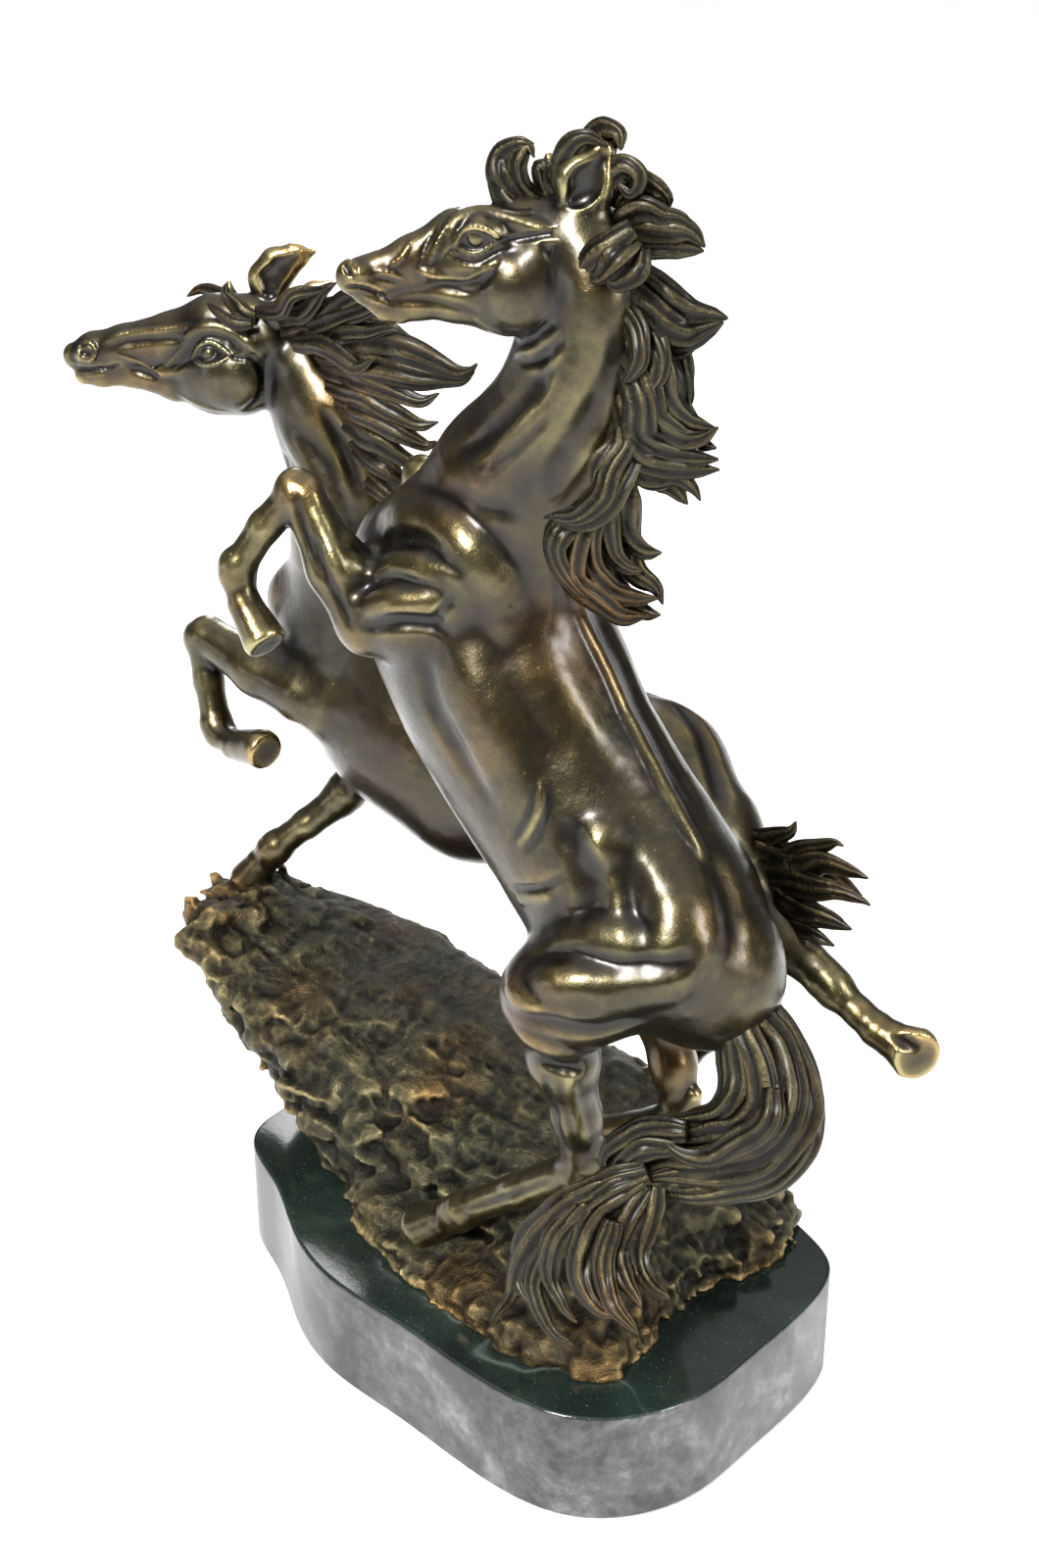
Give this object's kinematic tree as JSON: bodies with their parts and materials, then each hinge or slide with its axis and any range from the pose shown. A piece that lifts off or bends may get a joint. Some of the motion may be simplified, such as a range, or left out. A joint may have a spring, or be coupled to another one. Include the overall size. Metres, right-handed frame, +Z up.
{
  "type": "horse statue",
  "caption": "Bronze group of two rearing stallions on a craggy rock, mounted on a polished dark marble plinth with a felt underside.",
  "frame": {"origin": "on the table plane, at the middle of the plinth's felt underside", "axes": "+Z up; the horses travel towards -X; the front stallion is on the -Y side and the rear stallion on the +Y side"},
  "size_m": [0.331, 0.1682, 0.4101],
  "materials": {
    "bronze_body": "brown-olive patina, ridges rubbed to a golden sheen",
    "bronze_hair": "darker brown-olive patina in the cut strands",
    "bronze_rock": "rough dark olive-brown patina",
    "marble": "polished near-black green with fine veins and specks",
    "steel": "zinc plated",
    "felt": "dark green felt sheet"
  },
  "bodies": {
    "root": {"front_stallion_torso": "bronze_body", "front_stallion_neck": "bronze_body", "front_stallion_head": "bronze_body", "front_stallion_mane": "bronze_hair", "front_stallion_left_foreleg": "bronze_body", "front_stallion_right_foreleg": "bronze_body", "front_stallion_left_hind_leg": "bronze_body", "front_stallion_right_hind_leg": "bronze_body", "front_stallion_tail": "bronze_hair", "rear_stallion_torso": "bronze_body", "rear_stallion_neck": "bronze_body", "rear_stallion_head": "bronze_body", "rear_stallion_mane": "bronze_hair", "rear_stallion_left_foreleg": "bronze_body", "rear_stallion_right_foreleg": "bronze_body", "rear_stallion_left_hind_leg": "bronze_body", "rear_stallion_right_hind_leg": "bronze_body", "rear_stallion_tail": "bronze_hair", "rock_base": "bronze_rock", "marble_plinth": "marble", "mounting_studs": "steel", "washers": "steel", "hex_nuts": "steel", "felt_pad": "felt"}
  },
  "joints": []
}
